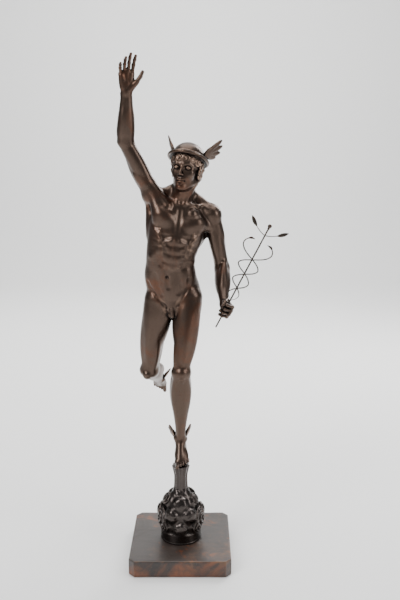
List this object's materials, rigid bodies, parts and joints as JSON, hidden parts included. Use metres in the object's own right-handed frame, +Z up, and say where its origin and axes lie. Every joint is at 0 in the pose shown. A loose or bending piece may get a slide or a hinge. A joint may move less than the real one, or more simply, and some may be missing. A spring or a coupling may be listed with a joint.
{
  "type": "mercury sculpture",
  "caption": "Bronze statuette of a winged-capped messenger on one foot with a raised arm and a serpent staff, on a cloud mound and a square wooden plinth.",
  "frame": {"origin": "middle of the plinth's underside", "axes": "+Z up, the figure faces -Y, its raised right arm is on the -X side"},
  "size_m": [0.2789, 0.3032, 0.8704],
  "materials": {
    "plinth_wood": "dark stain under worn lacquer",
    "mound_bronze": "dark brown patina, semi-gloss",
    "figure_bronze": "brown patina, rubbed warm on the high places",
    "staff_bronze": "dark brown patina"
  },
  "bodies": {
    "root": {"plinth": "plinth_wood", "cloud_mound": "mound_bronze", "figure": "figure_bronze", "staff_rod": "staff_bronze", "staff_serpent_left": "staff_bronze", "staff_serpent_right": "staff_bronze", "staff_wings": "staff_bronze"}
  },
  "joints": []
}
